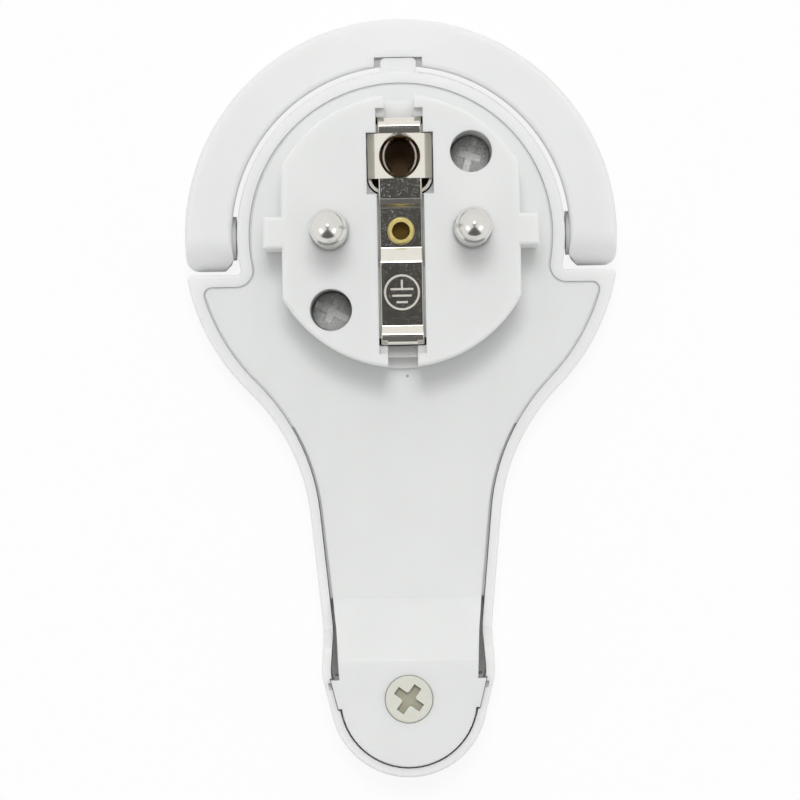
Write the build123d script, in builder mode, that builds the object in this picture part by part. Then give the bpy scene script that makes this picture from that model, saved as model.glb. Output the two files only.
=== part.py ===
import os
from math import cos, radians, sqrt, tan

from build123d import *

os.makedirs("parts", exist_ok=True)

# Frame: the plug lies on its flat back at z = 0 with its pins pointing up along +Z.
# The origin is midway between the pins, +X is across them and +Y points at the handle's crown.

# Fits shared by the pieces
pin_clearance = 0.05
part_gap = 0.25
seat_gap = 0.1
flange_gap = 0.04

# Contact pins
pin_pitch = 19.0
pin_diameter = 4.8
pin_length = 19.0
pin_root_diameter = 5.2
pin_root_sink = 0.1
pin_tip_chamfer = 0.3
pin_tip_dome = 1.9
pin_flange_diameter = 7.5
pin_flange_height = 2.0
pillar_diameter = 7.0
pillar_height = 8.0
wire_hole_diameter = 3.2

# Terminal screws
terminal_screw_diameter = 3.0
terminal_screw_reach = 3.6
terminal_head_diameter = 5.0
terminal_head_height = 1.8
terminal_slot_width = 0.8
terminal_slot_depth = 0.9

# Housing heights above the back face
back_wall = 1.8
rim_height = 9.2
back_round = 1.5
rim_round = 0.35
parting_round = 0.2
parting_depth = 0.25
neck_parting_depth = 1.0

# Housing plan
wall = 1.65
neck_wall = 1.3
tail_wall = 1.2
head_radius = 22.4
shoulder_proud = 0.35
shoulder_face_y = -5.1
shoulder_corner = 0.7
shoulder_root = 0.6
parting_corner = 1.1
parting_end_y = -26.0
neck_blend = 27.5
neck_half_width = 12.94
neck_width_y = -38.5
neck_taper = 5.5
neck_gap_growth = 0.2
tail_ramp_run = 2.5
tail_top_rise = 6.9
tail_flare = 1.1
tail_wide_rise = 4.0
tail_blend = 6.0
tail_neck_blend = 12.0
tail_centre_y = -63.1
tail_radius = 10.65
hump_side_gap = 1.05

# Pin carrier
plate_thickness = 2.0
boss_height = 16.8
boss_radius = 18.2
boss_flat_margin = 6.4
boss_tab_proud = 0.2
boss_tab_width = 4.25
boss_wall = 1.8
boss_front_wall = 4.0
boss_edge_round = 0.5
ramp_run = 8.45
ramp_end_rise = 5.2
hump_proud = 0.4
hump_thickness = 2.4
lug_length = 3.9
lug_top_rise = 2.7
lug_depth = 2.4
lug_wall = 0.95
window_wall = 0.55
window_drop = 0.4
window_length = 0.85
window_depth = 1.6

# Housing screws, deep in their wells
screw_y = 10.4
screw_well_diameter = 5.6
screw_tube_diameter = 8.0
screw_head_diameter = 5.2
screw_head_height = 2.2
screw_head_drop = 11.5
screw_head_dome = 1.2
screw_diameter = 3.0
screw_tip_gap = 1.5
screw_seat = 2.0
screw_slot_width = 0.9
screw_slot_depth = 1.0
screw_cross_length = 3.6
screw_cross_width = 1.5
screw_cross_depth = 1.5
screw_cross_taper = 12.0
upper_screw_turn = 73.0
lower_screw_turn = -26.0
post_diameter = 5.6
pin_stop_wall = 1.0

# Earth strip
strip_width = 5.8
strip_thickness = 0.8
strip_bend = 0.7
strip_edge_round = 0.2
strip_arm_inset = 3.45
strip_arm_foot = 12.0
strip_crest_back = 0.8
strip_crest_rise = 0.8
strip_crest_sink = 0.2
strip_crest_run = 1.1
strip_shoulder_drop = 0.7
strip_dip = 1.0
strip_upper_step_y = 4.0
strip_upper_dip_y = 3.4
strip_lower_dip_y = -2.4
strip_lower_step_y = -4.0
eye_half_width = 4.3
eye_length = 6.0
eye_droop = 0.9
earth_hole_inset = 4.75
earth_hole_diameter = 5.5
earth_hole_chamfer = 0.25
symbol_y = -8.2
symbol_radius = 2.4
symbol_line = 0.28
symbol_depth = 0.12
symbol_bars = (3.05, 2.6, 1.5)
symbol_bar_pitch = 0.87
symbol_bar_y = 0.43
symbol_stem = 1.25

# Earth groove and side slots in the boss
groove_width = 6.3
slot_width = 4.0
slot_edge_gap = 1.6
slot_inner_gap = 0.1
slot_floor_drop = 14.5
slot_rib_drop = 8.0
slot_corner_drop = 2.5
slot_rib_gap = 0.1
slot_rib_lap = 0.4
slot_wall = 1.2

# Earth socket contact
socket_pocket_width = 8.9
socket_post_gap = 0.5
socket_arm_gap = 1.25
socket_depth = 16.0
socket_shelf_drop = 3.6
socket_wall = 1.2
socket_sheet = 0.4
socket_corner = 2.2
socket_gap = 0.15
leaf_radius = 2.42
leaf_angle = 140.0
leaf_drop = 4.0

# Earth post
earth_post_size = 6.4
earth_post_height = 9.0
rivet_diameter = 3.2
rivet_head_diameter = 3.7
rivet_head_height = 0.5
rivet_hole_diameter = 2.4
rivet_hole_depth = 3.5

# Cord entry and clamp
cord_bore_radius = 4.2
cord_collar_wall = 1.0
cord_collar_lift = 0.7
cord_collar_inset = 6.4
clamp_screw_diameter = 6.5
clamp_screw_turn = 54.0
clamp_screw_round = 0.3
clamp_cross_length = 4.2
clamp_cross_width = 1.15
clamp_cross_round = 0.35
clamp_cross_depth = 1.6
saddle_end_gap = 0.75
saddle_width = 5.0
saddle_thickness = 1.8
saddle_rib = 0.8
saddle_room = 0.4
ledge_inner_x = 7.2
ledge_width = 6.0
cord_rib_height = 0.8
cord_rib_spacing = 5.0

# Pull handle
handle_gap = 0.6
handle_width = 6.5
handle_drop = 0.2
handle_end_corner = 1.7
handle_end_chamfer = 1.6
handle_round = 0.8
handle_draft = 5.0
hinge_boss_diameter = 6.0
hinge_boss_gap = 0.15
hinge_boss_root = 1.5
pivot_diameter = 3.2
notch_half_width = 3.25
notch_bite = 1.25
notch_depth = 1.6
tongue_half_width = 2.45
tongue_depth = 1.0
tongue_corner = 0.7
scoop_radius = 100.0
scoop_out = 14.0
scoop_margin = 2.2

# Places worked out from the sizes above
tiny = 0.01
upward_slope = cos(radians(60))
handle_thickness = rim_height - handle_drop
handle_inner_radius = head_radius + handle_gap
handle_outer_radius = handle_inner_radius + handle_width
shoulder_radius = handle_outer_radius + shoulder_proud
notch_y = handle_inner_radius + notch_bite
tongue_y = notch_y - seat_gap
scoop_y = handle_outer_radius + scoop_out
scoop_low_y = handle_inner_radius + scoop_margin
plate_z = rim_height - plate_thickness
boss_front = rim_height + boss_height
boss_inside = boss_front - boss_front_wall
boss_flat = pin_pitch / 2 + boss_flat_margin
boss_tab_reach = boss_radius + boss_tab_proud
cord_collar_radius = cord_bore_radius + cord_collar_wall
cord_axis_height = cord_collar_radius + cord_collar_lift
cord_collar_y = tail_centre_y - cord_collar_inset
collar_end_y = tail_centre_y - sqrt(tail_radius**2 - cord_collar_radius**2)
hump_under = cord_axis_height + cord_collar_radius + seat_gap
hump_top = hump_under + hump_thickness
tail_rim_height = hump_top - hump_proud
tail_half_width = tail_radius + tail_flare
tail_wide_y = tail_centre_y + tail_wide_rise
tail_top_y = tail_centre_y + tail_top_rise
tail_ramp_y = tail_top_y + tail_ramp_run
ramp_end_y = tail_centre_y + ramp_end_rise
ramp_start_y = ramp_end_y + ramp_run
hinge_z = handle_thickness / 2
pivot_tip_x = head_radius - wall
screw_places = [(pin_pitch / 2, screw_y), (-pin_pitch / 2, -screw_y)]
screw_head_top = boss_front - screw_head_drop
screw_seat_z = screw_head_top - screw_head_height
screw_length = screw_seat_z - back_wall - screw_tip_gap
post_top = screw_seat_z - screw_seat
pillar_foot = boss_inside - pin_flange_height - pillar_height
strip_high = boss_front - strip_crest_sink - strip_crest_rise - strip_thickness / 2
strip_low = strip_high - strip_dip
strip_crest_z = strip_high + strip_crest_rise
strip_arm_y = boss_radius - strip_arm_inset
strip_crest_y = strip_arm_y - strip_crest_back
strip_flat_end_y = strip_crest_y - strip_crest_run
slot_edge_y = strip_arm_y + slot_edge_gap
slot_floor = boss_front - slot_floor_drop
socket_floor = boss_front - socket_depth
earth_hole_y = strip_arm_y - earth_hole_inset
socket_low_y = earth_post_size / 2 + socket_post_gap + socket_wall
socket_high_y = strip_arm_y - strip_thickness / 2 - socket_arm_gap
socket_pocket_length = socket_high_y - socket_low_y
socket_centre_y = (socket_low_y + socket_high_y) / 2
eye_high_y = earth_hole_y + eye_length / 2
eye_radius = (eye_half_width**2 + eye_droop**2) / (2 * eye_droop)
eye_top = strip_high + strip_thickness / 2
eye_edge = eye_top - eye_droop - strip_thickness
earth_post_foot = boss_inside - earth_post_height
saddle_top = hump_under - saddle_room
ledge_height = saddle_top - saddle_thickness
saddle_length = 2 * (tail_radius - tail_wall - saddle_end_gap)
lug_top_y = tail_centre_y + lug_top_rise
lug_low_y = lug_top_y - lug_length


def neck_half(y, inset):
    """Half width of the tapered neck at a height y of the plan."""
    slope = radians(neck_taper)
    return neck_half_width + (y - neck_width_y) * tan(slope) - inset / cos(slope)


class Inset:
    """How far a plan is drawn in from the body's outer face, region by region."""

    def __init__(self, head, neck, ramp, side, tail, corner):
        self.head = head
        self.neck = neck
        self.ramp = ramp
        self.side = side
        self.tail = tail
        self.corner = corner


outer_face = Inset(0, 0, 0, 0, 0, shoulder_corner)
cavity_face = Inset(wall, neck_wall, neck_wall, tail_wall, tail_wall, parting_corner)
carrier_face = Inset(wall + part_gap, neck_wall + part_gap, neck_wall + part_gap + neck_gap_growth,
                     tail_wall + hump_side_gap, tail_wall + part_gap, parting_corner - part_gap)
flange_face = Inset(wall + flange_gap, neck_wall + seat_gap, neck_wall + seat_gap, tail_wall, tail_wall,
                    parting_corner - flange_gap)


def tail_plan(plane, inset):
    """Plan of the rounded tail."""
    ramp_half = neck_half(tail_ramp_y, inset.ramp)
    blend_x = tail_half_width - inset.side - tail_blend
    with BuildSketch(plane) as plan:
        with BuildLine():
            Line((-ramp_half, tail_ramp_y), (ramp_half, tail_ramp_y))
            CenterArc((-blend_x, tail_wide_y), tail_blend, 180, 90)
            CenterArc((blend_x, tail_wide_y), tail_blend, 270, 90)
            CenterArc((0, tail_centre_y), tail_radius - inset.tail, 180, 180)
        make_hull()
    return plan.sketch


def body_plan(plane, inset):
    """Plan of the whole body."""
    face_y = shoulder_face_y - inset.head
    with BuildSketch(plane) as plan:
        Circle(shoulder_radius - inset.head)
        with Locations((0, face_y)):
            Rectangle(2 * shoulder_radius, 2 * shoulder_radius,
                      align=(Align.CENTER, Align.MIN), mode=Mode.SUBTRACT)
        top_half = neck_half(face_y, inset.neck)
        ramp_half = neck_half(tail_ramp_y, inset.ramp)
        Polygon((-top_half, face_y), (-ramp_half, tail_ramp_y),
                (ramp_half, tail_ramp_y), (top_half, face_y), align=None)
        fillet(plan.vertices().group_by(Axis.Y)[1], neck_blend + inset.head)
        fillet(plan.vertices().group_by(Axis.Y)[-1], inset.corner)
        Circle(head_radius - inset.head)
        at_face = plan.vertices().filter_by_position(Axis.Y, face_y - tiny, face_y + tiny)
        fillet(at_face.filter_by_position(Axis.X, -head_radius, head_radius), shoulder_root + inset.head)
        add(tail_plan(Plane.XY, inset))
    return plan.sketch


def inner_plan(plane, inset):
    """Plan of the whole body with its tail blended into the neck."""
    with BuildSketch(plane) as plan:
        add(body_plan(Plane.XY, inset))
        kinks = plan.vertices().filter_by_position(Axis.Y, tail_ramp_y - tiny, tail_ramp_y + tiny)
        fillet(kinks, tail_neck_blend)
    return plan.sketch


def lug_plan(plane, depth, top_y, low_y):
    """Band of the tail's plan where the carrier's side lugs sit in the housing's notches."""
    with BuildSketch(plane) as plan:
        add(tail_plan(Plane.XY, Inset(depth, depth, depth, depth, depth, parting_corner)))
        with Locations((0, (top_y + low_y) / 2)):
            Rectangle(2 * tail_half_width, top_y - low_y, mode=Mode.INTERSECT)
    return plan.sketch


def upper_rim(piece):
    """Edges round the upward faces, without the creases across the tail."""
    upward = piece.faces().filter_by(lambda face: face.normal_at().Z > upward_slope)
    return upward.edges().filter_by(Axis.X, reverse=True)


# Rear housing: the shell with its raised tail
with BuildPart() as rear_housing:
    extrude(body_plan(Plane.XY, outer_face), amount=rim_height)
    fillet(upper_rim(rear_housing), rim_round)
    extrude(tail_plan(Plane.XY, outer_face), amount=tail_rim_height)
    fillet(rear_housing.faces().sort_by(Axis.Z)[-1].edges().filter_by(Axis.X, reverse=True), rim_round)
    with BuildSketch(Plane.YZ):
        Polygon((tail_ramp_y, rim_height), (tail_ramp_y, tail_rim_height),
                (tail_top_y, tail_rim_height), align=None)
    extrude(amount=tail_half_width, both=True, mode=Mode.SUBTRACT)
    fillet(rear_housing.faces().sort_by(Axis.Z)[0].edges(), back_round)
    extrude(inner_plan(Plane.XY.offset(back_wall), cavity_face), amount=tail_rim_height,
            mode=Mode.SUBTRACT)
    # Tongue that the handle's notch closes over
    with BuildSketch(Plane.XY.offset(handle_thickness - tongue_depth)) as tongue:
        with Locations((0, tongue_y)):
            Rectangle(2 * tongue_half_width, tongue_y - head_radius + wall / 2,
                      align=(Align.CENTER, Align.MAX))
        fillet(tongue.vertices().group_by(Axis.Y)[-1], tongue_corner)
    extrude(amount=tongue_depth)
    # Posts for the housing screws and stops behind the pins
    with BuildSketch(Plane.XY.offset(back_wall)):
        with Locations(*screw_places):
            Circle(post_diameter / 2)
    extrude(amount=post_top - back_wall)
    with BuildSketch(Plane.XY.offset(back_wall)):
        with Locations(*screw_places):
            Circle(screw_diameter / 2 + pin_clearance)
    extrude(amount=post_top - back_wall, mode=Mode.SUBTRACT)
    with BuildSketch(Plane.XY.offset(back_wall)):
        with GridLocations(pin_pitch, 0, 2, 1):
            Circle(terminal_head_diameter / 2 + part_gap + pin_stop_wall)
            Circle(terminal_head_diameter / 2 + part_gap, mode=Mode.SUBTRACT)
    extrude(amount=pillar_foot - seat_gap - back_wall)
    # Ledges for the clamp saddle and ribs that bite the cord
    with BuildSketch(Plane.XY.offset(back_wall)):
        with Locations((0, tail_centre_y)):
            Rectangle(2 * (tail_radius - tail_wall / 2), ledge_width)
            Rectangle(2 * ledge_inner_x, ledge_width, mode=Mode.SUBTRACT)
    extrude(amount=ledge_height - back_wall)
    with BuildSketch(Plane.XY.offset(back_wall)):
        with Locations((0, tail_centre_y)):
            with GridLocations(0, cord_rib_spacing, 1, 2):
                Rectangle(2 * ledge_inner_x, cord_rib_height)
    extrude(amount=cord_rib_height)
    # Cord inlet with its collar
    with BuildSketch(Plane.XZ.offset(-cord_collar_y)):
        with Locations((0, cord_axis_height)):
            Circle(cord_collar_radius)
    extrude(amount=cord_collar_y - collar_end_y)
    with BuildSketch(Plane.XZ.offset(-cord_collar_y)):
        with Locations((0, cord_axis_height)):
            Circle(cord_bore_radius)
    extrude(amount=tail_radius, mode=Mode.SUBTRACT)
    # Notches for the carrier's lugs
    extrude(lug_plan(Plane.XY.offset(hump_top - lug_depth - part_gap), lug_wall,
                     lug_top_y + part_gap, lug_low_y - part_gap),
            amount=lug_depth + part_gap, mode=Mode.SUBTRACT)
    window_y = lug_top_y - window_drop
    extrude(lug_plan(Plane.XY.offset(hump_top - window_depth), window_wall, window_y,
                     window_y - window_length), amount=window_depth, mode=Mode.SUBTRACT)
    # Pivot holes for the handle
    with BuildSketch(Plane.YZ):
        with Locations((0, hinge_z)):
            Circle(pivot_diameter / 2 + pin_clearance)
    extrude(amount=shoulder_radius, both=True, mode=Mode.SUBTRACT)

# Pin carrier: the front plate with its boss and raised tail
with BuildPart() as pin_carrier:
    extrude(inner_plan(Plane.XY.offset(plate_z), carrier_face), amount=hump_top - plate_z)
    with BuildSketch(Plane.YZ):
        under_shift = ramp_run * (hump_thickness - plate_thickness) / (hump_top - rim_height)
        Polygon((head_radius, rim_height), (ramp_start_y, rim_height), (ramp_end_y, hump_top),
                (tail_centre_y - tail_radius, hump_top), (tail_centre_y - tail_radius, hump_under),
                (ramp_end_y - under_shift, hump_under), (ramp_start_y - under_shift, plate_z),
                (head_radius, plate_z), align=None)
    extrude(amount=shoulder_radius, both=True, mode=Mode.INTERSECT)
    fillet(upper_rim(pin_carrier), parting_round)
    # Flange that closes the parting line from behind, deeper along the neck
    for top_y, low_y, depth in ((head_radius, parting_end_y, parting_depth),
                                (parting_end_y, ramp_start_y, neck_parting_depth)):
        with BuildSketch(Plane.XY.offset(plate_z)):
            add(body_plan(Plane.XY, flange_face))
            with Locations((0, low_y)):
                Rectangle(2 * shoulder_radius, top_y - low_y,
                          align=(Align.CENTER, Align.MIN), mode=Mode.INTERSECT)
        extrude(amount=plate_thickness - depth)
    with BuildSketch(Plane.XY.offset(plate_z)):
        Circle(boss_radius)
        Rectangle(2 * boss_flat, 2 * boss_radius, mode=Mode.INTERSECT)
        Rectangle(2 * boss_tab_reach, boss_tab_width)
    extrude(amount=boss_front - plate_z)
    fillet(pin_carrier.faces().sort_by(Axis.Z)[-1].edges(), boss_edge_round)
    # Wiring space behind the boss, leaving the screw tubes, the socket well and the slot walls
    with BuildSketch(Plane.XY.offset(plate_z)):
        Circle(boss_radius - boss_wall)
        Rectangle(2 * (boss_flat - boss_wall), 2 * boss_radius, mode=Mode.INTERSECT)
        slot_block = boss_radius - strip_arm_y + strip_thickness / 2 + slot_inner_gap + slot_wall
        with Locations((0, boss_radius - slot_block / 2), (0, slot_block / 2 - boss_radius)):
            Rectangle(groove_width + 2 * slot_wall, slot_block, mode=Mode.SUBTRACT)
        with Locations(*screw_places):
            Circle(screw_tube_diameter / 2, mode=Mode.SUBTRACT)
        with Locations((0, socket_centre_y)):
            Rectangle(socket_pocket_width + 2 * socket_wall, socket_pocket_length + 2 * socket_wall,
                      mode=Mode.SUBTRACT)
    extrude(amount=boss_inside - plate_z, mode=Mode.SUBTRACT)
    # Screw wells from the front and sockets for the posts from behind
    with BuildSketch(Plane.XY.offset(screw_seat_z)):
        with Locations(*screw_places):
            Circle(screw_well_diameter / 2)
    extrude(amount=boss_front - screw_seat_z, mode=Mode.SUBTRACT)
    with BuildSketch(Plane.XY.offset(plate_z)):
        with Locations(*screw_places):
            Circle(screw_diameter / 2 + seat_gap)
    extrude(amount=boss_front - plate_z, mode=Mode.SUBTRACT)
    with BuildSketch(Plane.XY.offset(plate_z)):
        with Locations(*screw_places):
            Circle(post_diameter / 2 + seat_gap)
    extrude(amount=post_top - plate_z, mode=Mode.SUBTRACT)
    # Holes for the pins and the rivet, with a lip over each pin's root
    with BuildSketch(Plane.XY.offset(boss_inside)):
        with GridLocations(pin_pitch, 0, 2, 1):
            Circle(pin_root_diameter / 2 + pin_clearance)
        Circle(rivet_diameter / 2 + pin_clearance)
    lip_z = boss_front - pin_root_sink
    extrude(amount=lip_z - boss_inside, mode=Mode.SUBTRACT)
    with Locations((pin_pitch / 2, 0, lip_z), (-pin_pitch / 2, 0, lip_z)):
        Cone(pin_root_diameter / 2 + pin_clearance, pin_diameter / 2 + pin_clearance, pin_root_sink,
             align=(Align.CENTER, Align.CENTER, Align.MIN), mode=Mode.SUBTRACT)
    # Groove for the earth strip, deeper under its dip
    with BuildSketch(Plane.XY.offset(strip_high - strip_thickness / 2)):
        Rectangle(groove_width, 2 * slot_edge_y)
    extrude(amount=boss_height, mode=Mode.SUBTRACT)
    with BuildSketch(Plane.XY.offset(strip_low - strip_thickness / 2)):
        dip_centre = (strip_upper_step_y + strip_lower_step_y) / 2
        with Locations((0, dip_centre)):
            Rectangle(groove_width, strip_upper_step_y - strip_lower_step_y + 2 * strip_thickness)
    extrude(amount=boss_height, mode=Mode.SUBTRACT)
    # Side slots that bare the strip's arms, with a rib in front of each arm's foot
    slot_inner_y = strip_arm_y - strip_thickness / 2 - slot_inner_gap
    rib_inner_y = strip_arm_y + strip_thickness / 2 + slot_rib_gap
    with BuildSketch(Plane.XY.offset(slot_floor)):
        Rectangle(groove_width, 2 * slot_edge_y)
        Rectangle(slot_width, 3 * boss_radius)
        Rectangle(groove_width, 2 * slot_inner_y, mode=Mode.SUBTRACT)
    extrude(amount=boss_height, mode=Mode.SUBTRACT)
    with BuildSketch(Plane.XY.offset(slot_floor)):
        Rectangle(slot_width, 2 * (slot_edge_y + slot_rib_lap))
        Rectangle(groove_width, 2 * rib_inner_y, mode=Mode.SUBTRACT)
    extrude(amount=boss_front - slot_rib_drop - slot_floor)
    with BuildSketch(Plane.XY.offset(slot_floor)):
        Rectangle(groove_width, 2 * slot_edge_y)
        Rectangle(slot_width, 3 * boss_radius, mode=Mode.SUBTRACT)
        Rectangle(groove_width, 2 * rib_inner_y, mode=Mode.SUBTRACT)
    extrude(amount=boss_front - slot_corner_drop - slot_floor)
    # Pocket for the earth socket contact
    with BuildSketch(Plane.XY.offset(socket_floor)):
        with Locations((0, socket_centre_y)):
            RectangleRounded(socket_pocket_width, socket_pocket_length, socket_corner)
    extrude(amount=socket_depth, mode=Mode.SUBTRACT)
    with BuildSketch(Plane.XY.offset(boss_front - socket_shelf_drop)):
        with Locations((0, socket_centre_y)):
            Rectangle(socket_pocket_width, socket_pocket_length)
    extrude(amount=socket_shelf_drop, mode=Mode.SUBTRACT)
    # Hole for the clamp screw and the side lugs of the tail
    with BuildSketch(Plane.XY.offset(hump_under)):
        with Locations((0, tail_centre_y)):
            Circle(clamp_screw_diameter / 2 + pin_clearance)
    extrude(amount=hump_thickness, mode=Mode.SUBTRACT)
    with BuildSketch(Plane.XY.offset(hump_top - lug_depth)):
        add(lug_plan(Plane.XY, lug_wall + seat_gap, lug_top_y, lug_low_y))
        with Locations((0, tail_centre_y)):
            Circle(clamp_screw_diameter, mode=Mode.SUBTRACT)
    extrude(amount=lug_depth)

# Pull handle: a horseshoe that folds out to the back on two pivots
with BuildPart() as pull_handle:
    with BuildSketch() as horseshoe:
        Circle(handle_outer_radius)
        with Locations((0, -hinge_z)):
            Rectangle(2 * handle_outer_radius, 2 * handle_outer_radius,
                      align=(Align.CENTER, Align.MAX), mode=Mode.SUBTRACT)
        Circle(handle_inner_radius, mode=Mode.SUBTRACT)
        arm_ends = horseshoe.vertices().group_by(Axis.Y)[0].sort_by(Axis.X)
        chamfer(arm_ends[1:3], handle_end_chamfer)
        fillet([arm_ends[0], arm_ends[3]], handle_end_corner)
    extrude(amount=handle_thickness)
    Cone(handle_inner_radius + handle_thickness * tan(radians(handle_draft)), handle_inner_radius,
         handle_thickness, align=(Align.CENTER, Align.CENTER, Align.MIN), mode=Mode.SUBTRACT)
    fillet(pull_handle.edges().filter_by(Plane.XY), handle_round)
    with BuildSketch(Plane.YZ):
        with Locations((0, hinge_z)):
            Circle(hinge_z)
        Rectangle(handle_outer_radius, handle_thickness, align=(Align.MIN, Align.MIN))
    extrude(amount=handle_outer_radius, both=True, mode=Mode.INTERSECT)
    # Finger scoop and snap notch at the crown
    scoop_z = handle_thickness + sqrt(scoop_radius**2 - (scoop_y - scoop_low_y) ** 2)
    with Locations((0, scoop_y, scoop_z)):
        Sphere(scoop_radius, mode=Mode.SUBTRACT)
    with BuildSketch(Plane.XY.offset(handle_thickness - notch_depth)):
        Rectangle(2 * notch_half_width, 2 * notch_y)
    extrude(amount=notch_depth, mode=Mode.SUBTRACT)
    # Pivots with the bosses that keep the arms off the housing
    for side in (-1, 1):
        with BuildSketch(Plane.YZ.offset(side * (head_radius + hinge_boss_gap))):
            with Locations((0, hinge_z)):
                Circle(hinge_boss_diameter / 2)
        extrude(amount=side * hinge_boss_root)
        with BuildSketch(Plane.YZ.offset(side * pivot_tip_x)):
            with Locations((0, hinge_z)):
                Circle(pivot_diameter / 2)
        extrude(amount=side * (handle_inner_radius - pivot_tip_x + hinge_boss_root / 2))

# Contact pins with their pillar terminals and terminal screws
pieces = {"rear_housing": rear_housing, "pin_carrier": pin_carrier, "pull_handle": pull_handle}
for name, side in (("line", 1), ("neutral", -1)):
    pin_x = side * pin_pitch / 2
    pin_tip = boss_front + pin_length
    pin_radius = pin_diameter / 2
    root_radius = pin_root_diameter / 2
    neck_radius = pin_radius - pin_tip_chamfer
    with BuildPart() as pin:
        with BuildSketch(Plane.XZ):
            with BuildLine():
                side_top = pin_tip - pin_tip_dome - pin_tip_chamfer
                root_top = boss_front - pin_root_sink
                Polyline((pin_x, boss_inside), (pin_x + root_radius, boss_inside),
                         (pin_x + root_radius, root_top), (pin_x + pin_radius, root_top),
                         (pin_x + pin_radius, side_top),
                         (pin_x + neck_radius, pin_tip - pin_tip_dome))
                dome_radius = (neck_radius**2 + pin_tip_dome**2) / (2 * pin_tip_dome)
                RadiusArc((pin_x + neck_radius, pin_tip - pin_tip_dome), (pin_x, pin_tip), -dome_radius)
                Line((pin_x, pin_tip), (pin_x, boss_inside))
            make_face()
        revolve(axis=Axis((pin_x, 0, 0), (0, 0, 1)))
        with BuildSketch(Plane.XY.offset(boss_inside)):
            with Locations((pin_x, 0)):
                Circle(pin_flange_diameter / 2)
        extrude(amount=-pin_flange_height)
        with BuildSketch(Plane.XY.offset(pillar_foot)):
            with Locations((pin_x, 0)):
                Circle(pillar_diameter / 2)
        extrude(amount=pillar_height)
        with BuildSketch(Plane.XZ):
            with Locations((pin_x, pillar_foot + pillar_height / 2)):
                Circle(wire_hole_diameter / 2)
        extrude(amount=pillar_diameter, both=True, mode=Mode.SUBTRACT)
        with BuildSketch(Plane.XY.offset(pillar_foot)):
            with Locations((pin_x, 0)):
                Circle(terminal_screw_diameter / 2 + pin_clearance)
        extrude(amount=pillar_height / 2, mode=Mode.SUBTRACT)
    pieces[name + "_pin"] = pin

# Earth strip: across the boss face and down both side slots
with BuildPart() as earth_strip:
    with BuildSketch(Plane.YZ):
        with BuildLine():
            arm_top = strip_crest_z - strip_shoulder_drop
            arm_foot = boss_front - strip_arm_foot
            FilletPolyline((strip_arm_y, arm_foot), (strip_arm_y, arm_top),
                           (strip_crest_y, strip_crest_z), (strip_flat_end_y, strip_high),
                           (strip_upper_step_y, strip_high), (strip_upper_dip_y, strip_low),
                           (strip_lower_dip_y, strip_low), (strip_lower_step_y, strip_high),
                           (-strip_flat_end_y, strip_high), (-strip_crest_y, strip_crest_z),
                           (-strip_arm_y, arm_top), (-strip_arm_y, arm_foot), radius=strip_bend)
            offset(amount=strip_thickness / 2)
        make_face()
    extrude(amount=strip_width / 2, both=True)
    fillet(earth_strip.faces().filter_by(Axis.X).edges(), strip_edge_round)
    # Widened eye whose sides droop over the socket
    with BuildSketch(Plane.XY.offset(strip_low)):
        with Locations((0, earth_hole_y)):
            Rectangle(strip_width, eye_length)
    extrude(amount=boss_height, mode=Mode.SUBTRACT)
    with BuildSketch(Plane.XZ.offset(-eye_high_y)):
        with Locations((0, eye_top - eye_radius)):
            Circle(eye_radius)
            Circle(eye_radius - strip_thickness, mode=Mode.SUBTRACT)
        with Locations((0, eye_top)):
            Rectangle(2 * eye_half_width, 2 * (eye_droop + strip_thickness), mode=Mode.INTERSECT)
    extrude(amount=eye_length)
    with BuildSketch(Plane.XY.offset(strip_low)):
        with Locations((0, earth_hole_y)):
            Circle(earth_hole_diameter / 2)
    extrude(amount=boss_height, mode=Mode.SUBTRACT)
    with Locations((0, earth_hole_y, eye_top - earth_hole_chamfer)):
        Cone(earth_hole_diameter / 2, earth_hole_diameter / 2 + 2 * earth_hole_chamfer,
             2 * earth_hole_chamfer, align=(Align.CENTER, Align.CENTER, Align.MIN), mode=Mode.SUBTRACT)
    with BuildSketch(Plane.XY.offset(strip_low - strip_thickness)):
        Circle(rivet_diameter / 2 + pin_clearance)
    extrude(amount=boss_height, mode=Mode.SUBTRACT)
    # Earth symbol sunk into the lower flat
    with BuildSketch(Plane.XY.offset(eye_top)):
        with Locations((0, symbol_y)):
            Circle(symbol_radius)
            Circle(symbol_radius - symbol_line, mode=Mode.SUBTRACT)
        for row, bar in enumerate(symbol_bars):
            with Locations((0, symbol_y + symbol_bar_y - row * symbol_bar_pitch)):
                Rectangle(bar, symbol_line)
        with Locations((0, symbol_y + symbol_bar_y)):
            Rectangle(symbol_line, symbol_stem, align=(Align.CENTER, Align.MIN))
    extrude(amount=-symbol_depth, mode=Mode.SUBTRACT)
pieces["earth_strip"] = earth_strip

# Earth socket contact: a sheet box with two curved leaves that grip an earth pin
with BuildPart() as earth_socket_contact:
    box_width = socket_pocket_width - 2 * socket_gap
    box_length = socket_pocket_length - 2 * socket_gap
    with BuildSketch(Plane.XY.offset(socket_floor)):
        with Locations((0, socket_centre_y)):
            RectangleRounded(box_width, box_length, socket_corner)
    extrude(amount=socket_sheet)
    with BuildSketch(Plane.XY.offset(socket_floor)):
        with Locations((0, socket_centre_y)):
            RectangleRounded(box_width, box_length, socket_corner)
            RectangleRounded(box_width - 2 * socket_sheet, box_length - 2 * socket_sheet,
                             socket_corner - socket_sheet, mode=Mode.SUBTRACT)
    extrude(amount=eye_edge - seat_gap - socket_floor)
    with BuildSketch(Plane.XY.offset(socket_floor)):
        with BuildLine():
            for start in (-leaf_angle / 2, 180 - leaf_angle / 2):
                CenterArc((0, earth_hole_y), leaf_radius + socket_sheet / 2, start, leaf_angle)
        trace(line_width=socket_sheet)
    extrude(amount=boss_front - leaf_drop - socket_floor)
pieces["earth_socket_contact"] = earth_socket_contact

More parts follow.
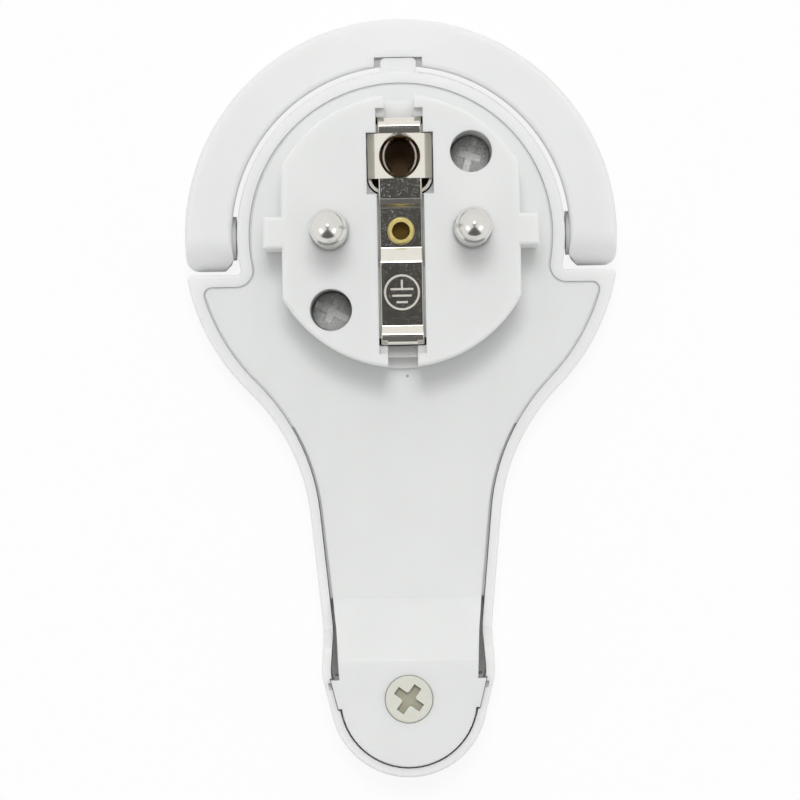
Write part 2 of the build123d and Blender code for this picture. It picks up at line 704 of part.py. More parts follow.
# Earth post: a terminal block riveted through the strip
with BuildPart() as earth_post:
    with BuildSketch(Plane.XY.offset(earth_post_foot)):
        Rectangle(earth_post_size, earth_post_size)
    extrude(amount=earth_post_height)
    rivet_seat = strip_low + strip_thickness / 2
    with BuildSketch(Plane.XY.offset(boss_inside)):
        Circle(rivet_diameter / 2)
    extrude(amount=rivet_seat - boss_inside)
    with BuildSketch(Plane.XY.offset(rivet_seat)):
        Circle(rivet_head_diameter / 2)
    extrude(amount=rivet_head_height)
    fillet(earth_post.faces().sort_by(Axis.Z)[-1].edges(), rivet_head_height / 2)
    with BuildSketch(Plane.XY.offset(rivet_seat + rivet_head_height)):
        Circle(rivet_hole_diameter / 2)
    extrude(amount=-rivet_hole_depth, mode=Mode.SUBTRACT)
    with BuildSketch(Plane.XZ):
        with Locations((0, earth_post_foot + earth_post_height / 2)):
            Circle(wire_hole_diameter / 2)
    extrude(amount=earth_post_size, both=True, mode=Mode.SUBTRACT)
    with BuildSketch(Plane.XY.offset(earth_post_foot)):
        Circle(terminal_screw_diameter / 2 + pin_clearance)
    extrude(amount=earth_post_height / 2, mode=Mode.SUBTRACT)
pieces["earth_post"] = earth_post

# Terminal screws, driven from behind into the pillars and the earth post
terminal_seats = (("line", pin_pitch / 2, pillar_foot), ("neutral", -pin_pitch / 2, pillar_foot),
                  ("earth", 0, earth_post_foot))
for name, seat_x, seat_z in terminal_seats:
    with BuildPart() as terminal_screw:
        with BuildSketch(Plane.XY.offset(seat_z)):
            with Locations((seat_x, 0)):
                Circle(terminal_head_diameter / 2)
        extrude(amount=-terminal_head_height)
        with BuildSketch(Plane.XY.offset(seat_z - terminal_head_height)):
            with Locations((seat_x, 0)):
                Rectangle(terminal_head_diameter, terminal_slot_width)
        extrude(amount=terminal_slot_depth, mode=Mode.SUBTRACT)
        with BuildSketch(Plane.XY.offset(seat_z)):
            with Locations((seat_x, 0)):
                Circle(terminal_screw_diameter / 2)
        extrude(amount=terminal_screw_reach)
    pieces[name + "_terminal_screw"] = terminal_screw

# Housing screws: domed heads with a slot and a cross
head_dome_radius = ((screw_head_diameter / 2) ** 2 + screw_head_dome**2) / (2 * screw_head_dome)
for name, place, turn in (("upper", screw_places[0], upper_screw_turn),
                          ("lower", screw_places[1], lower_screw_turn)):
    with BuildPart() as housing_screw:
        with BuildSketch(Plane.XY.offset(screw_seat_z)):
            with Locations(place):
                Circle(screw_head_diameter / 2)
        extrude(amount=screw_head_height)
        with Locations((*place, screw_head_top - head_dome_radius)):
            Sphere(head_dome_radius, mode=Mode.INTERSECT)
        with BuildSketch(Plane.XY.offset(screw_head_top)):
            with Locations(Location((*place, 0), turn)):
                Rectangle(screw_head_diameter, screw_slot_width)
        extrude(amount=-screw_slot_depth, mode=Mode.SUBTRACT)
        with BuildSketch(Plane.XY.offset(screw_head_top)):
            with Locations(Location((*place, 0), turn)):
                Rectangle(screw_cross_length, screw_cross_width)
                Rectangle(screw_cross_width, screw_cross_length)
        extrude(amount=-screw_cross_depth, taper=screw_cross_taper, mode=Mode.SUBTRACT)
        with BuildSketch(Plane.XY.offset(screw_seat_z)):
            with Locations(place):
                Circle(screw_diameter / 2)
        extrude(amount=-screw_length)
    pieces[name + "_housing_screw"] = housing_screw

# Cord clamp screw, flush in the raised tail
with BuildPart() as cord_clamp_screw:
    with BuildSketch(Plane.XY.offset(saddle_top)):
        with Locations((0, tail_centre_y)):
            Circle(clamp_screw_diameter / 2)
    extrude(amount=hump_top - saddle_top)
    fillet(cord_clamp_screw.faces().sort_by(Axis.Z)[-1].edges(), clamp_screw_round)
    with BuildSketch(Plane.XY.offset(hump_top)) as cross:
        with Locations(Location((0, tail_centre_y, 0), clamp_screw_turn)):
            Rectangle(clamp_cross_length, clamp_cross_width)
            Rectangle(clamp_cross_width, clamp_cross_length)
        centre = Vector(0, tail_centre_y, 0)
        inner_corners = cross.vertices().filter_by(
            lambda corner: (Vector(corner) - centre).length < clamp_cross_width)
        fillet(inner_corners, clamp_cross_round)
    extrude(amount=-clamp_cross_depth, mode=Mode.SUBTRACT)
pieces["cord_clamp_screw"] = cord_clamp_screw

# Cord clamp saddle, pressed onto the cord by that screw
with BuildPart() as cord_clamp_saddle:
    with BuildSketch(Plane.XY.offset(ledge_height)):
        with Locations((0, tail_centre_y)):
            Rectangle(saddle_length, saddle_width)
    extrude(amount=saddle_thickness)
    with BuildSketch(Plane.XY.offset(ledge_height)):
        with Locations((0, tail_centre_y)):
            Rectangle(2 * (ledge_inner_x - part_gap), saddle_rib)
    extrude(amount=-saddle_rib)
pieces["cord_clamp_saddle"] = cord_clamp_saddle

for name, piece in pieces.items():
    piece.part.label = name
    export_step(piece.part, f"parts/{name}.step")
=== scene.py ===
"""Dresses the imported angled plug: a finish for every solid, a plain stage and the camera."""

import math

import bpy
from bpy.props import FloatProperty, FloatVectorProperty, PointerProperty
from mathutils import Matrix, Vector


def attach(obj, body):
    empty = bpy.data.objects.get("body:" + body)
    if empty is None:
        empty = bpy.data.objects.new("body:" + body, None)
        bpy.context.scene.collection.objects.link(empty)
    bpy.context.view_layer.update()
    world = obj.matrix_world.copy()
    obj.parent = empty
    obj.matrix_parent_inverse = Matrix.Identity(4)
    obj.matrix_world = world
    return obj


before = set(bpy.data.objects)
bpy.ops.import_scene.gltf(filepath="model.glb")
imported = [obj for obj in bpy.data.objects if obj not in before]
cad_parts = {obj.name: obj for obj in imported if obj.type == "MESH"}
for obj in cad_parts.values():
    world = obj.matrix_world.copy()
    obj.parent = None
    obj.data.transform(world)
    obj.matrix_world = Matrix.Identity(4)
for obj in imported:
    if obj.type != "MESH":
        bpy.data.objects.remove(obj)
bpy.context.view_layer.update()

bl_info = {
    "name": "Angled plug",
    "version": (1, 0, 0),
    "blender": (4, 5, 0),
    "location": "View3D > Sidebar > Plug",
    "description": "Finishes and stage for an angled plug with a fold-out pull handle",
    "category": "Object",
}

MM = 0.001

# Places, radii and height bands on the plug that the finishes follow
GATE = (0.56 * MM, -19.28 * MM)
GATE_RADIUS = 0.24 * MM
SYMBOL = (0.0, -8.2 * MM)
SYMBOL_REACH = 2.45 * MM
STRIP_TOP = 25.0 * MM
EARTH_HOLE = (0.0, 10 * MM)
SOCKET_RIM = 2.95 * MM
SOCKET_LEAF = 2.41 * MM
# Height bands: the socket's mouth is painted lighter above its band, and the rivet's hole and the clamp's
# recess carry painted shade below theirs.
SOCKET_MOUTH = (21.9 * MM, 22.3 * MM)
RIVET_HOLE = (23.2 * MM, 24.3 * MM)
CLAMP_RECESS = (12.6 * MM, 13.3 * MM)

# Lamps in metres, the directions of the room's dark walls, and the floor
LAMP_AIM = Vector((0, -20 * MM, 10 * MM))
KEY_PLACE = (0.0, 0.225, 1.2)
KEY_WIDTH = 0.22
GLINT_PLACE = (0.0, 0.26, 1.2)
GLINT_WIDTH = 0.16
FILL_PLACE = (0.5, -0.3, 0.45)
FILL_WIDTH = 0.35
CEILING_CONE = (0.972, 0.992)
NEAR_WEDGE = (0.06, 0.30)
ROOM_SLOPE = 0.30
FLOOR_HALF = 3.0
FLOOR_DROP = 0.02 * MM
FLOOR_WHITE = 0.88

SHELL_NODES = ("rear_housing",)
CARRIER_NODES = ("pin_carrier",)
HANDLE_NODES = ("pull_handle",)
PIN_NODES = ("line_pin", "neutral_pin")
SHEET_NODES = ("earth_strip",)
SOCKET_NODES = ("earth_socket_contact",)
POST_NODES = ("earth_post",)
STEEL_NODES = ("upper_housing_screw", "lower_housing_screw", "line_terminal_screw",
               "neutral_terminal_screw", "earth_terminal_screw")
NYLON_NODES = ("cord_clamp_screw", "cord_clamp_saddle")


def colour_prop(name, text, value):
    """A colour that a user may change."""
    return FloatVectorProperty(name=name, description=text, default=value, subtype="COLOR", size=3,
                               min=0.0, max=1.0)


def length_prop(name, text, value):
    """A length in metres that a user may change."""
    return FloatProperty(name=name, description=text, default=value, unit="LENGTH", precision=5)


def angle_prop(name, text, degrees):
    """An angle that a user may change."""
    return FloatProperty(name=name, description=text, default=math.radians(degrees), subtype="ANGLE")


def place_prop(name, text, value):
    """A place in metres that a user may change."""
    return FloatVectorProperty(name=name, description=text, default=value, size=3, subtype="TRANSLATION",
                               unit="LENGTH")


def plain_prop(name, text, value):
    """A plain number that a user may change."""
    return FloatProperty(name=name, description=text, default=value, precision=4)


def share_prop(name, text, value):
    """A share from 0 to 1 that a user may change."""
    return FloatProperty(name=name, description=text, default=value, subtype="FACTOR", min=0.0, max=1.0)


def lens_prop(name, text, value):
    """A focal length in millimetres that a user may change."""
    return FloatProperty(name=name, description=text, default=value, subtype="DISTANCE_CAMERA")


class PlugFinish(bpy.types.PropertyGroup):
    """Colours and grain of the plug's finishes."""

    shell: colour_prop("Shell", "Moulded plastic of the rear housing", (0.845, 0.85, 0.845))
    carrier: colour_prop("Carrier", "Moulded plastic of the pin carrier", (0.80, 0.81, 0.805))
    handle: colour_prop("Handle", "Moulded plastic of the pull handle", (0.825, 0.83, 0.83))
    nickel: colour_prop("Nickel", "Nickel plate of the pins", (0.70, 0.69, 0.66))
    tin: colour_prop("Tinned sheet", "Tinned sheet of the earth strip", (0.78, 0.75, 0.685))
    # Bronze colour kept far darker than real bronze: painted shade deep in the earth socket's hole.
    spring: colour_prop("Spring bronze", "Bare bronze inside the earth socket", (0.20, 0.13, 0.075))
    brass: colour_prop("Brass", "Plain brass of the hollow rivet", (0.66, 0.55, 0.22))
    zinc: colour_prop("Zinc", "Zinc plate of the screws", (0.87, 0.875, 0.86))
    nylon: colour_prop("Nylon", "Natural nylon of the cord clamp", (0.70, 0.70, 0.63))
    glow: share_prop("Plastic glow", "Share of light that goes through the white plastic", 0.6)
    depth: length_prop("Glow depth", "How far light goes through the white plastic", 1.6 * MM)
    grain: length_prop("Mould grain", "Size of the grain that the mould leaves", 0.35 * MM)
    speckle: length_prop("Tin speckle", "Distance between the specks on the tinned sheet", 0.24 * MM)


class PlugLips(bpy.types.PropertyGroup):
    """Sizes of the two spring lips in the mouth of the earth socket."""

    bend: length_prop("Bend", "Radius of a lip, seen from the pin side", 3.05 * MM)
    sheet: length_prop("Sheet", "Thickness of a lip", 0.34 * MM)
    rise: length_prop("Rise", "Height of a lip", 1.5 * MM)
    span: length_prop("Span", "Width across both lips", 4.2 * MM)
    lean: angle_prop("Lean", "Slope of a lip towards the hole", 14.0)
    sweep: angle_prop("Sweep", "Angle that a lip covers", 84.0)
    middle: place_prop("Middle", "Middle of the two lips", (*EARTH_HOLE, 22.6 * MM))


class PlugStage(bpy.types.PropertyGroup):
    """Camera, lamps and floor."""

    eye: place_prop("Camera place", "Where the camera stands", (-0.52 * MM, -22.54 * MM, 676 * MM))
    roll: angle_prop("Camera roll", "Turn of the camera about its view", -1.0)
    lens: lens_prop("Lens", "Focal length of the camera", 220.0)
    surround: plain_prop("Surround", "Level of the pale room round the plug", 0.58)
    ceiling: plain_prop("Ceiling", "Level that reflections show of the room behind the camera", 0.07)
    near_wall: plain_prop("Near wall", "Level that reflections show of the room beyond the tail", 0.15)
    key: plain_prop("Key lamp", "Brightness of the main lamp, which no reflection shows", 29.0)
    glint: plain_prop("Glint lamp", "Brightness of the weak lamp that reflections show", 8.0)
    fill: plain_prop("Fill lamps", "Brightness of the two lamps beside the tail", 0.8)
    floor: colour_prop("Floor", "Paper under the plug", (0.92, 0.92, 0.92))


class Value:
    """A socket whose arithmetic adds Math nodes."""

    def __init__(self, net, socket):
        self.net = net
        self.socket = socket

    def join(self, operation, first, second):
        return self.net.node("ShaderNodeMath", {"operation": operation}, {0: first, 1: second})

    def __add__(self, other):
        return self.join("ADD", self, other)

    def __radd__(self, other):
        return self.join("ADD", other, self)

    def __sub__(self, other):
        return self.join("SUBTRACT", self, other)

    def __rsub__(self, other):
        return self.join("SUBTRACT", other, self)

    def __mul__(self, other):
        return self.join("MULTIPLY", self, other)

    def __rmul__(self, other):
        return self.join("MULTIPLY", other, self)

    def __pow__(self, other):
        return self.join("POWER", self, other)

    def __rpow__(self, other):
        return self.join("POWER", other, self)

    def higher(self, other):
        return self.join("MAXIMUM", self, other)


class Net:
    """Builds one node tree."""

    def __init__(self, tree):
        self.tree = tree
        tree.nodes.clear()

    def node(self, kind, settings=None, inputs=None, out=0):
        """Adds a node, sets it up, fills or links its sockets and gives one of its outputs."""
        made = self.tree.nodes.new(kind)
        for key, value in (settings or {}).items():
            setattr(made, key, value)
        for key, value in (inputs or {}).items():
            if isinstance(value, Value):
                self.tree.links.new(value.socket, made.inputs[key])
            else:
                made.inputs[key].default_value = value
        if isinstance(out, tuple):
            return [Value(self, made.outputs[key]) for key in out]
        return Value(self, made.outputs[out]) if len(made.outputs) else made

    def place(self):
        """Coordinates in the plug's own frame."""
        return self.node("ShaderNodeTexCoord", out="Object")

    def axes(self, place):
        """The three numbers of a place."""
        return self.node("ShaderNodeSeparateXYZ", None, {0: place}, out=(0, 1, 2))

    def near(self, place, centre, radius, soft):
        """1 within a radius of a centre, across and along the plug, and 0 outside."""
        across, along, _ = self.axes(place)
        off_x = across - centre[0]
        off_y = along - centre[1]
        return 1.0 - self.band((off_x * off_x + off_y * off_y) ** 0.5, radius - soft, radius)

    def noise(self, place, size, detail=2.0, rough=0.5):
        """Cloudy noise whose blotches are about the given size."""
        return self.node("ShaderNodeTexNoise", {"noise_dimensions": "3D"},
                         {"Vector": place, "Scale": 1 / size, "Detail": detail, "Roughness": rough})

    def dots(self, place, pitch):
        """Small soft dots, about one to each pitch."""
        off = self.node("ShaderNodeTexVoronoi", {"feature": "F1"},
                        {"Vector": place, "Scale": 1 / pitch}, out="Distance")
        return 1.0 - self.band(off, 0.10, 0.36)

    def stretch(self, place, factors):
        """A place with its axes scaled."""
        return self.node("ShaderNodeVectorMath", {"operation": "MULTIPLY"}, {0: place, 1: factors})

    def band(self, value, low, high):
        """0 below low, 1 above high and smooth between."""
        return self.node("ShaderNodeMapRange", {"interpolation_type": "SMOOTHSTEP", "clamp": True},
                         {"Value": value, "From Min": low, "From Max": high, "To Min": 0.0, "To Max": 1.0})

    def blend(self, share, first, second):
        """A colour between two colours."""
        return self.node("ShaderNodeMix", {"data_type": "RGBA", "blend_type": "MIX"},
                         {0: share, 6: first, 7: second}, out=2)

    def bump(self, height, depth, strength):
        """A surface normal from a height."""
        return self.node("ShaderNodeBump", None,
                         {"Height": height, "Distance": depth, "Strength": strength})

    def surface(self, inputs):
        """Finishes a material with one principled shader."""
        shader = self.node("ShaderNodeBsdfPrincipled", None, inputs)
        self.node("ShaderNodeOutputMaterial", None, {"Surface": shader})


def new_material(name):
    """An empty node material and its net."""
    material = bpy.data.materials.new(name)
    material.use_nodes = True
    return material, Net(material.node_tree)


def tone(colour, factor):
    """A colour made lighter or darker, as a node's colour value."""
    return (*(min(1.0, channel * factor) for channel in colour), 1.0)


def tinted(colour, factors):
    """A colour whose channels are scaled one by one, as a node's colour value."""
    return (*(channel * factor for channel, factor in zip(colour, factors)), 1.0)


def dress(names, material):
    """Gives a finish to CAD nodes."""
    for name in names:
        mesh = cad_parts[name].data
        mesh.materials.clear()
        mesh.materials.append(material)


def finish():
    """The finish settings."""
    return bpy.context.scene.plug_finish


def moulded(name, colour, gate=None):
    """White plastic with a fine grain, cloudy gloss, a trace of flow in its colour and its gate mark."""
    material, net = new_material(name)
    place = net.place()
    grain = net.noise(place, finish().grain, 3.0, 0.6)
    cloud = net.noise(place, 9 * MM)
    flow = net.noise(net.stretch(place, (1.0, 0.35, 1.0)), 5 * MM, 3.0, 0.6)
    tint = net.band(flow * 0.6 + cloud * 0.4, 0.3, 0.7)
    base = net.blend(tint, tone(colour, 0.985), tone(colour, 1.01))
    if gate:
        base = net.blend(net.near(place, gate, GATE_RADIUS, 0.1 * MM), base, tone(colour, 0.5))
    net.surface({
        "Base Color": base,
        "Roughness": 0.40 + cloud * 0.10 + grain * 0.06,
        "Normal": net.bump(grain, 0.006 * MM, 0.25),
        "IOR": 1.5,
        "Subsurface Weight": finish().glow,
        "Subsurface Radius": (1.0, 0.96, 0.88),
        "Subsurface Scale": finish().depth,
    })
    return material


class PLUG_OT_moulded_plastic(bpy.types.Operator):
    """White plastic on the housing, the pin carrier and the handle"""

    bl_idname = "plug.moulded_plastic"
    bl_label = "Moulded plastic"

    def execute(self, context):
        dress(SHELL_NODES, moulded("shell_plastic", finish().shell))
        dress(CARRIER_NODES, moulded("carrier_plastic", finish().carrier, GATE))
        dress(HANDLE_NODES, moulded("handle_plastic", finish().handle))
        return {"FINISHED"}


class PLUG_OT_nickel_pins(bpy.types.Operator):
    """Bright nickel plate on the contact pins"""

    bl_idname = "plug.nickel_pins"
    bl_label = "Nickel pins"

    def execute(self, context):
        material, net = new_material("nickel_plate")
        place = net.place()
        rubbed = net.noise(net.stretch(place, (1.0, 1.0, 0.06)), 0.25 * MM, 2.0, 0.6)
        cloud = net.noise(place, 3 * MM)
        colour = finish().nickel
        net.surface({
            "Base Color": net.blend(net.band(cloud, 0.35, 0.65), tone(colour, 0.97), tone(colour, 1.02)),
            "Metallic": 1.0,
            "Roughness": 0.16 + rubbed * 0.10,
            "Normal": net.bump(rubbed, 0.002 * MM, 0.2),
        })
        dress(PIN_NODES, material)
        return {"FINISHED"}


class PLUG_OT_tinned_sheet(bpy.types.Operator):
    """Speckled tinned sheet on the earth strip"""

    bl_idname = "plug.tinned_sheet"
    bl_label = "Tinned sheet"

    def execute(self, context):
        material, net = new_material("tinned_sheet")
        place = net.place()
        height = net.axes(place)[2]
        speck = net.dots(place, finish().speckle)
        cloud = net.noise(place, 2.5 * MM, 3.0, 0.6)
        sunk = net.near(place, SYMBOL, SYMBOL_REACH, 0.03 * MM)
        sunk = sunk * (1.0 - net.band(height, STRIP_TOP - 0.06 * MM, STRIP_TOP - 0.03 * MM))
        sunk = sunk * net.band(height, STRIP_TOP - 0.3 * MM, STRIP_TOP - 0.2 * MM)
        colour = finish().tin
        base = net.blend(cloud, tone(colour, 0.93), tone(colour, 1.05))
        net.surface({
            "Base Color": net.blend(sunk, base, tone(colour, 0.95)),
            "Metallic": 1.0 - sunk * 0.55,
            "Roughness": (0.05 + cloud * 0.06 + speck * 0.17) * (1.0 - sunk) + sunk * 0.6,
            "Normal": net.bump(cloud, 0.004 * MM, 0.25),
        })
        dress(SHEET_NODES, material)
        return {"FINISHED"}


class PLUG_OT_earth_socket(bpy.types.Operator):
    """Spring bronze on the earth socket, kept very dark as painted shade deep in the hole, tinned at its
    mouth with the lighter tops also standing as painted light, and the two lips in that mouth
    """

    bl_idname = "plug.earth_socket"
    bl_label = "Earth socket"

    def execute(self, context):
        material, net = new_material("bronze_with_painted_shade")
        place = net.place()
        height = net.axes(place)[2]
        cloud = net.noise(place, 0.6 * MM, 3.0, 0.6)
        # Tin colour at the mouth and on the lip tops: tin plate, and painted light on the tops, lighter
        # than the bronze below. The dark bronze lower down is painted shade in the hole.
        rim = 1.0 - net.near(place, EARTH_HOLE, SOCKET_RIM, 0.05 * MM)
        leaf = net.near(place, EARTH_HOLE, SOCKET_LEAF, 0.02 * MM)
        tinned = net.band(height + cloud * 0.4 * MM, *SOCKET_MOUTH) * (rim + leaf * 0.6)
        bronze = finish().spring
        net.surface({
            "Base Color": net.blend(tinned, net.blend(cloud, tone(bronze, 0.8), tone(bronze, 1.2)),
                                    tone(finish().tin, 0.85)),
            "Metallic": 1.0,
            "Roughness": 0.42 + cloud * 0.12 - tinned * 0.12,
            "Normal": net.bump(cloud, 0.01 * MM, 0.2),
        })
        dress(SOCKET_NODES, material)
        sizes = context.scene.plug_lips
        lips = grown("spring_lips", lips_tree(), {
            "Bend": sizes.bend, "Sheet": sizes.sheet, "Rise": sizes.rise, "Span": sizes.span,
            "Lean": sizes.lean, "Sweep": sizes.sweep, "Finish": material,
        })
        lips.data.transform(Matrix.Translation(sizes.middle))
        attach(lips, "plug_body")
        return {"FINISHED"}


def lips_tree():
    """Two leaning strips that follow arcs on either side of a hole."""
    tree = bpy.data.node_groups.new("spring_lips", "GeometryNodeTree")
    sizes = ("Bend", "Sheet", "Rise", "Span", "Lean", "Sweep")
    for name in sizes:
        tree.interface.new_socket(name, in_out="INPUT", socket_type="NodeSocketFloat")
    tree.interface.new_socket("Finish", in_out="INPUT", socket_type="NodeSocketMaterial")
    tree.interface.new_socket("Geometry", in_out="OUTPUT", socket_type="NodeSocketGeometry")
    net = Net(tree)
    bend, sheet, rise, span, lean, sweep, material = net.node("NodeGroupInput", out=(*sizes, "Finish"))
    arc = net.node("GeometryNodeCurveArc", {"mode": "RADIUS"},
                   {"Resolution": 40, "Radius": bend, "Start Angle": sweep * -0.5, "Sweep Angle": sweep})
    section = net.node("GeometryNodeCurvePrimitiveQuadrilateral", {"mode": "RECTANGLE"},
                       {"Width": sheet, "Height": rise})
    tilt = net.node("ShaderNodeCombineXYZ", None, {2: lean})
    leaning = net.node("GeometryNodeTransform", None, {"Geometry": section, "Rotation": tilt})
    lip = net.node("GeometryNodeCurveToMesh", None,
                   {"Curve": arc, "Profile Curve": leaning, "Fill Caps": True})
    aside = net.node("ShaderNodeCombineXYZ", None, {0: span * 0.5 - bend})
    lip = net.node("GeometryNodeTransform", None, {"Geometry": lip, "Translation": aside})
    pair = net.node("GeometryNodeMeshLine", {"mode": "OFFSET"}, {"Count": 2, "Offset": (0.0, 0.0, 0.0)})
    half_turn = net.node("GeometryNodeInputIndex") * math.pi
    turned = net.node("ShaderNodeCombineXYZ", None, {2: half_turn})
    both = net.node("GeometryNodeInstanceOnPoints", None,
                    {"Points": pair, "Instance": lip, "Rotation": turned})
    whole = net.node("GeometryNodeRealizeInstances", None, {"Geometry": both})
    done = net.node("GeometryNodeSetMaterial", None, {"Geometry": whole, "Material": material})
    net.node("NodeGroupOutput", None, {"Geometry": done})
    return tree


def grown(name, tree, sizes):
    """A plain mesh object from a geometry tree and its sizes."""
    seed = bpy.data.objects.new(name + "_seed", bpy.data.meshes.new(name + "_seed"))
    bpy.context.scene.collection.objects.link(seed)
    grower = seed.modifiers.new("grow", "NODES")
    grower.node_group = tree
    for item in tree.interface.items_tree:
        if item.in_out == "INPUT":
            grower[item.identifier] = sizes[item.name]
    seen = seed.evaluated_get(bpy.context.evaluated_depsgraph_get())
    piece = bpy.data.objects.new(name, bpy.data.meshes.new_from_object(seen))
    bpy.data.objects.remove(seed)
    bpy.context.scene.collection.objects.link(piece)
    return piece


class PLUG_OT_earth_rivet(bpy.types.Operator):
    """Plain brass on the hollow rivet and its terminal, darker and rougher down in the rivet's hole as
    painted shade
    """

    bl_idname = "plug.earth_rivet"
    bl_label = "Earth rivet"

    def execute(self, context):
        material, net = new_material("plain_brass")
        place = net.place()
        height = net.axes(place)[2]
        cloud = net.noise(place, 0.5 * MM, 3.0, 0.6)
        # Painted shade: the brass turns darker and rougher below the rim of the rivet's hole.
        hole_shade = 1.0 - net.band(height, *RIVET_HOLE)
        colour = finish().brass
        lit = net.blend(cloud, tone(colour, 0.9), tone(colour, 1.1))
        net.surface({
            "Base Color": net.blend(hole_shade, lit, tinted(colour, (0.36, 0.28, 0.2))),
            "Metallic": 1.0,
            "Roughness": 0.28 + cloud * 0.1 + hole_shade * 0.2,
            "Normal": net.bump(cloud, 0.01 * MM, 0.2),
        })
        dress(POST_NODES, material)
        return {"FINISHED"}


class PLUG_OT_zinc_screws(bpy.types.Operator):
    """Zinc plate on the housing and terminal screws"""

    bl_idname = "plug.zinc_screws"
    bl_label = "Zinc screws"

    def execute(self, context):
        material, net = new_material("zinc_plate")
        place = net.place()
        spangle = net.noise(place, 1.2 * MM)
        colour = finish().zinc
        net.surface({
            "Base Color": net.blend(spangle, tone(colour, 0.92), tone(colour, 1.06)),
            "Metallic": 0.3,
            "Roughness": 0.20 + spangle * 0.14,
            "Normal": net.bump(spangle, 0.01 * MM, 0.15),
        })
        dress(STEEL_NODES, material)
        return {"FINISHED"}


class PLUG_OT_nylon_clamp(bpy.types.Operator):
    """Natural nylon on the cord clamp, darker and yellower down in the clamp's recess as painted shade"""

    bl_idname = "plug.nylon_clamp"
    bl_label = "Nylon clamp"

    def execute(self, context):
        material, net = new_material("natural_nylon")
        place = net.place()
        cloud = net.noise(place, 1.6 * MM, 3.0, 0.6)
        grain = net.noise(place, 0.2 * MM)
        colour = finish().nylon
        # Painted shade: the nylon turns darker and yellower below the rim of the clamp's recess.
        recess_shade = 1.0 - net.band(net.axes(place)[2], *CLAMP_RECESS)
        lit = net.blend(cloud, tone(colour, 0.95), tone(colour, 1.04))
        net.surface({
            "Base Color": net.blend(recess_shade, lit, tinted(colour, (0.72, 0.70, 0.62))),
            "Roughness": 0.42 + cloud * 0.12,
            "Normal": net.bump(grain, 0.01 * MM, 0.25),
            "Subsurface Weight": 0.15,
            "Subsurface Scale": 0.6 * MM,
        })
        dress(NYLON_NODES, material)
        return {"FINISHED"}


def seen_directly(net):
    """Which rays come from the camera, off gloss or through glass."""
    return net.node("ShaderNodeLightPath", out=("Is Camera Ray", "Is Glossy Ray", "Is Transmission Ray"))


def build_room(settings):
    """A pale room, white where the camera sees it, with two dark walls that only reflections show."""
    world = bpy.data.worlds.new("room")
    bpy.context.scene.world = world
    world.use_nodes = True
    net = Net(world.node_tree)
    direction = net.node("ShaderNodeTexCoord", out="Generated")
    across, along, up = net.axes(direction)
    camera, gloss, _ = seen_directly(net)
    behind = net.band(up, *CEILING_CONE)
    beyond = net.band(along * -1.0 - (across * across) ** 0.5, *NEAR_WEDGE)
    mirrored = (1.0 - beyond + beyond * settings.near_wall) * (1.0 - behind) + behind * settings.ceiling
    lit = settings.surround + along * ROOM_SLOPE
    level = gloss * mirrored + (1.0 - gloss) * lit
    shade = net.node("ShaderNodeBackground", None, {"Color": (1.0, 1.0, 0.99, 1.0), "Strength": level})
    white = net.node("ShaderNodeBackground", None, {"Color": (1.0, 1.0, 1.0, 1.0), "Strength": 1.0})
    mixed = net.node("ShaderNodeMixShader", None, {0: camera, 1: shade, 2: white})
    net.node("ShaderNodeOutputWorld", None, {"Surface": mixed})


def build_lamp(name, place, width, brightness, mirrored=True):
    """A square soft lamp that faces the plug, and that reflections may or may not show."""
    data = bpy.data.lights.new(name, "AREA")
    data.shape = "SQUARE"
    data.size = width
    data.energy = brightness * math.pi * width * width
    lamp = bpy.data.objects.new(name, data)
    lamp.location = place
    lamp.rotation_euler = (LAMP_AIM - Vector(place)).to_track_quat("-Z", "Y").to_euler()
    lamp.visible_glossy = mirrored
    bpy.context.scene.collection.objects.link(lamp)


def build_floor(settings):
    """A wide sheet of pale paper just under the plug's back face."""
    signs = ((-1, -1), (1, -1), (1, 1), (-1, 1))
    corners = [(x * FLOOR_HALF, y * FLOOR_HALF, -FLOOR_DROP) for x, y in signs]
    mesh = bpy.data.meshes.new("floor")
    mesh.from_pydata(corners, [], [(0, 1, 2, 3)])
    floor = bpy.data.objects.new("floor", mesh)
    bpy.context.scene.collection.objects.link(floor)
    material, net = new_material("floor_paper")
    camera, gloss, through = seen_directly(net)
    fibre = net.noise(net.place(), 2 * MM)
    colour = net.blend(fibre, tone(settings.floor, 0.99), tone(settings.floor, 1.01))
    paper = net.node("ShaderNodeBsdfDiffuse", None, {"Color": colour})
    white = net.node("ShaderNodeEmission", None, {"Color": (1.0, 1.0, 1.0, 1.0), "Strength": 1.0})
    share = camera.higher(gloss).higher(through) * FLOOR_WHITE
    mixed = net.node("ShaderNodeMixShader", None, {0: share, 1: paper, 2: white})
    net.node("ShaderNodeOutputMaterial", None, {"Surface": mixed})
    mesh.materials.append(material)


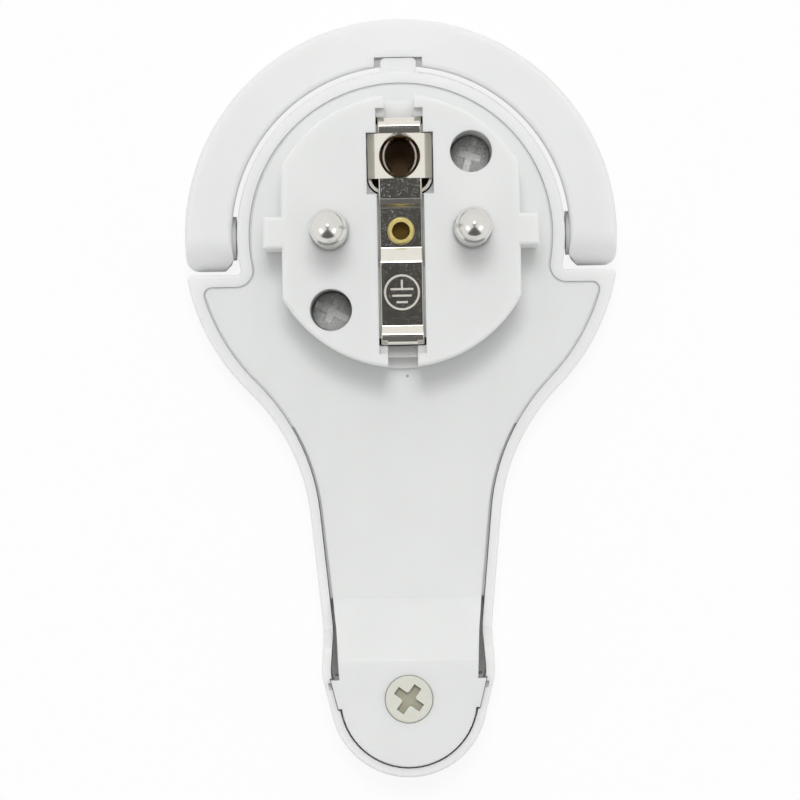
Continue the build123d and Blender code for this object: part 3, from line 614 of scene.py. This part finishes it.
class PLUG_OT_stage(bpy.types.Operator):
    """Floor, lamps, room and camera"""

    bl_idname = "plug.stage"
    bl_label = "Stage"

    def execute(self, context):
        settings = context.scene.plug_stage
        build_room(settings)
        build_lamp("key_lamp", KEY_PLACE, KEY_WIDTH, settings.key, mirrored=False)
        build_lamp("glint_lamp", GLINT_PLACE, GLINT_WIDTH, settings.glint)
        across, along, up = FILL_PLACE
        for side in (-1, 1):
            build_lamp("fill_lamp", (side * across, along, up), FILL_WIDTH, settings.fill)
        build_floor(settings)
        data = bpy.data.cameras.new("photo_camera")
        data.lens = settings.lens
        data.sensor_width = 36.0
        data.clip_start = 0.01
        camera = bpy.data.objects.new("photo_camera", data)
        camera.location = settings.eye
        camera.rotation_euler = (0, 0, settings.roll)
        context.scene.collection.objects.link(camera)
        context.scene.camera = camera
        context.scene.view_settings.view_transform = "Standard"
        return {"FINISHED"}


STEPS = (PLUG_OT_moulded_plastic, PLUG_OT_nickel_pins, PLUG_OT_tinned_sheet, PLUG_OT_earth_socket,
         PLUG_OT_earth_rivet, PLUG_OT_zinc_screws, PLUG_OT_nylon_clamp, PLUG_OT_stage)


class PLUG_PT_sidebar(bpy.types.Panel):
    """The plug's settings and steps"""

    bl_idname = "PLUG_PT_sidebar"
    bl_label = "Angled plug"
    bl_space_type = "VIEW_3D"
    bl_region_type = "UI"
    bl_category = "Plug"

    def draw(self, context):
        for group in (context.scene.plug_finish, context.scene.plug_lips, context.scene.plug_stage):
            for name in group.__annotations__:
                self.layout.prop(group, name)
        for step in STEPS:
            self.layout.operator(step.bl_idname)


CLASSES = (PlugFinish, PlugLips, PlugStage, *STEPS, PLUG_PT_sidebar)


def register():
    for item in CLASSES:
        bpy.utils.register_class(item)
    bpy.types.Scene.plug_finish = PointerProperty(type=PlugFinish)
    bpy.types.Scene.plug_lips = PointerProperty(type=PlugLips)
    bpy.types.Scene.plug_stage = PointerProperty(type=PlugStage)


def unregister():
    del bpy.types.Scene.plug_stage
    del bpy.types.Scene.plug_lips
    del bpy.types.Scene.plug_finish
    for item in reversed(CLASSES):
        bpy.utils.unregister_class(item)


def main():
    register()
    bpy.ops.plug.moulded_plastic()
    bpy.ops.plug.nickel_pins()
    bpy.ops.plug.tinned_sheet()
    bpy.ops.plug.earth_socket()
    bpy.ops.plug.earth_rivet()
    bpy.ops.plug.zinc_screws()
    bpy.ops.plug.nylon_clamp()
    bpy.ops.plug.stage()


if __name__ == "__main__":
    main()
